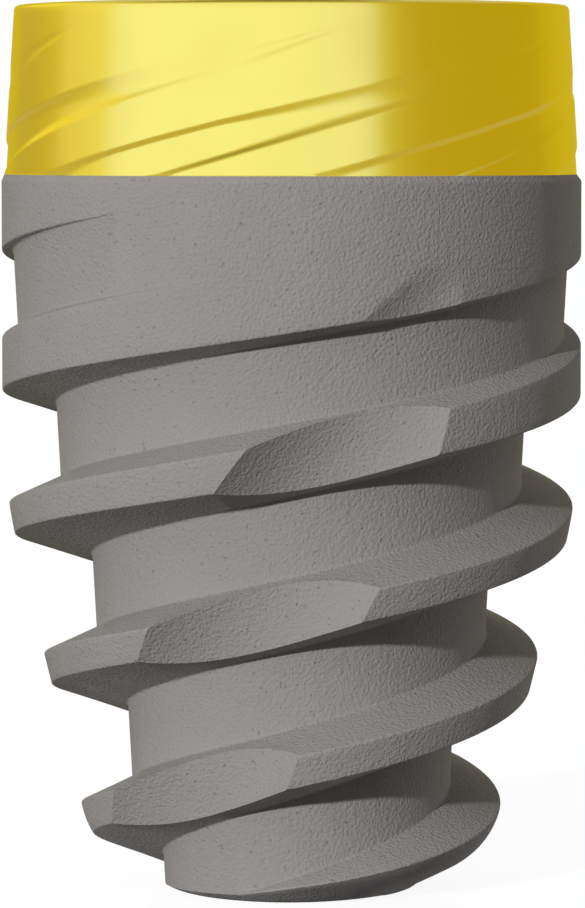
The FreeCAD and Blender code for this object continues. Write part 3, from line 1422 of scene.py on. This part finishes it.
CARD_DISTANCE = 60.0
CARD_FOOT = Spot(CARD_DISTANCE, 0.2)
RAISED_FOOT = Spot(CARD_DISTANCE, 8.0)
RAISED_HEAD = Spot(CARD_DISTANCE, 17.0)
SOFTBOX_HEAD = Spot(CARD_DISTANCE, 29.4)
HOOD_HEAD = Spot(CARD_DISTANCE, 55.0)
WALL_HEAD = Spot(CARD_DISTANCE, 111.5)
CEILING_MIDDLE = Spot(0.5, 111.5)
GROUND_MIDDLE = Spot(4.0, 0.1)
GROUND_EDGE = Spot(CARD_DISTANCE, 0.1)

CARDS = (
    Card("softbox", -76.0, 34.0, CARD_FOOT, SOFTBOX_HEAD, (1.13, 1.28, 1.55)),
    Card("softbox_hood", -76.0, 34.0, SOFTBOX_HEAD, HOOD_HEAD, (0.6, 0.53, 0.24)),
    Card("dim_foot", -105.0, -76.0, CARD_FOOT, RAISED_FOOT, (0.5, 0.42, 0.1)),
    Card("side_near_softbox", -105.0, -76.0, RAISED_FOOT, HOOD_HEAD, (0.95, 0.88, 0.4)),
    Card("dim_side", -145.0, -105.0, CARD_FOOT, RAISED_HEAD, (0.5, 0.42, 0.1)),
    Card("side_glow", -145.0, -105.0, RAISED_HEAD, HOOD_HEAD, (0.97, 0.87, 0.18)),
    Card("right_wall", 34.0, 120.0, CARD_FOOT, HOOD_HEAD, (0.5, 0.4, 0.02)),
    Card("back_wall", 120.0, 215.0, CARD_FOOT, HOOD_HEAD, (0.63, 0.52, 0.03)),
    Card("front_upper_wall", -76.0, 34.0, HOOD_HEAD, WALL_HEAD, (0.22, 0.2, 0.15)),
    Card("back_upper_wall", 34.0, 284.0, HOOD_HEAD, WALL_HEAD, (0.6, 0.6, 0.6)),
    Card("ground", 0.0, FULL_TURN, GROUND_MIDDLE, GROUND_EDGE, (0.55, 0.48, 0.22)),
    Card("front_ceiling", -100.0, 100.0, WALL_HEAD, CEILING_MIDDLE, (0.1, 0.1, 0.1)),
    Card("back_ceiling", 100.0, 260.0, WALL_HEAD, CEILING_MIDDLE, WHITE),
)


def background_rays(tree: bpy.types.NodeTree) -> bpy.types.NodeSocket:
    """Tell the rays that show the background.

    Args:
        tree: the node tree of a material or a world.

    Returns:
        1 for camera and glossy rays, and 0 for all others.
    """
    rays = tree.nodes.new("ShaderNodeLightPath")
    seen = tree.nodes.new("ShaderNodeMath")
    seen.operation = "MAXIMUM"
    tree.links.new(rays.outputs["Is Camera Ray"], seen.inputs[0])
    tree.links.new(rays.outputs["Is Glossy Ray"], seen.inputs[1])
    return seen.outputs[0]


@dataclass(frozen=True)
class Studio:
    """Camera, lamps, cards, floor and world.

    Lengths are in millimetres and angles in degrees. The lens is given as its
    focal length and the picture's height, both in pixels of the photograph.
    """

    camera_distance: float = 46.71
    camera_height: float = 7.14
    camera_shift_right: float = 0.0095
    pitch_down: float = 3.667
    focal_length_pixels: float = 4910.0
    picture_height_pixels: float = 908.0
    sensor_height: float = 24.0
    view_start: float = 2.0
    view_end: float = 20000.0
    floor_radius: float = 600.0
    floor_sides: int = 96
    floor_grey: float = 0.15
    floor_roughness: float = 0.9
    floor_glow: float = 0.92
    ambient: float = 0.29

    def build(self) -> None:
        """Make the whole set."""
        bpy.context.scene.view_settings.view_transform = "Standard"
        self.camera()
        for lamp in LAMPS:
            lamp.build()
        for card in CARDS:
            card.build()
        self.floor()
        self.world()
        log.info("studio: %d lamps and %d cards", len(LAMPS), len(CARDS))

    def camera(self) -> None:
        """Camera in front of the implant, level with its collar and looking slightly down."""
        lens = bpy.data.cameras.new("camera")
        lens.sensor_fit = "VERTICAL"
        lens.sensor_height = self.sensor_height
        lens.lens = self.sensor_height * self.focal_length_pixels / self.picture_height_pixels
        lens.clip_start = self.view_start * MILLIMETRE
        lens.clip_end = self.view_end * MILLIMETRE
        camera = bpy.data.objects.new("camera", lens)
        place = Vector((self.camera_shift_right, -self.camera_distance, self.camera_height))
        camera.location = place * MILLIMETRE
        camera.rotation_euler = (math.radians(QUARTER_TURN - self.pitch_down), 0.0, 0.0)
        bpy.context.scene.collection.objects.link(camera)
        bpy.context.scene.camera = camera

    def floor(self) -> None:
        """Pale floor that the camera sees as white, with the implant's shadow."""
        shape = bmesh.new()
        radius = self.floor_radius * MILLIMETRE
        bmesh.ops.create_circle(shape, cap_ends=True, segments=self.floor_sides, radius=radius)
        floor = new_object("floor", shape)
        material, tree, shader = new_material("pale_floor")
        shader.inputs["Base Color"].default_value = (self.floor_grey,) * 3 + (1.0,)
        shader.inputs["Roughness"].default_value = self.floor_roughness
        shader.inputs["Specular IOR Level"].default_value = 0.0
        shader.inputs["Emission Color"].default_value = (*WHITE, 1.0)
        glow = ranged(tree, background_rays(tree), (0.0, 1.0), (0.0, self.floor_glow))
        tree.links.new(glow, shader.inputs["Emission Strength"])
        floor.data.materials.append(material)

    def world(self) -> None:
        """Soft even light, which the camera sees as white."""
        world = bpy.data.worlds.new("studio")
        world.use_nodes = True
        tree = world.node_tree
        background = tree.nodes["Background"]
        background.inputs["Color"].default_value = (*WHITE, 1.0)
        level = ranged(tree, background_rays(tree), (0.0, 1.0), (self.ambient, 1.0))
        tree.links.new(level, background.inputs["Strength"])
        bpy.context.scene.world = world


def main() -> None:
    """Build the implant and its set, and log how many faces it has."""
    logging.basicConfig(level=logging.INFO, format="%(message)s")
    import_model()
    patches = PATCHES.tree()
    marks = TURNING_MARKS.tree()
    finishes = [
        BlastedTitanium().material(patches),
        GOLD.material(patches, marks),
        MACHINED.material(patches, marks),
    ]
    sizes = ImplantSizes()
    piece = Implant(ThreadedBody(sizes), Collar(sizes), Socket(sizes), Flute()).build(finishes)
    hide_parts(NODE)
    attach(piece, BODY)
    log.info("implant: %d faces", len(piece.data.polygons))
    Studio().build()


if __name__ == "__main__":
    main()
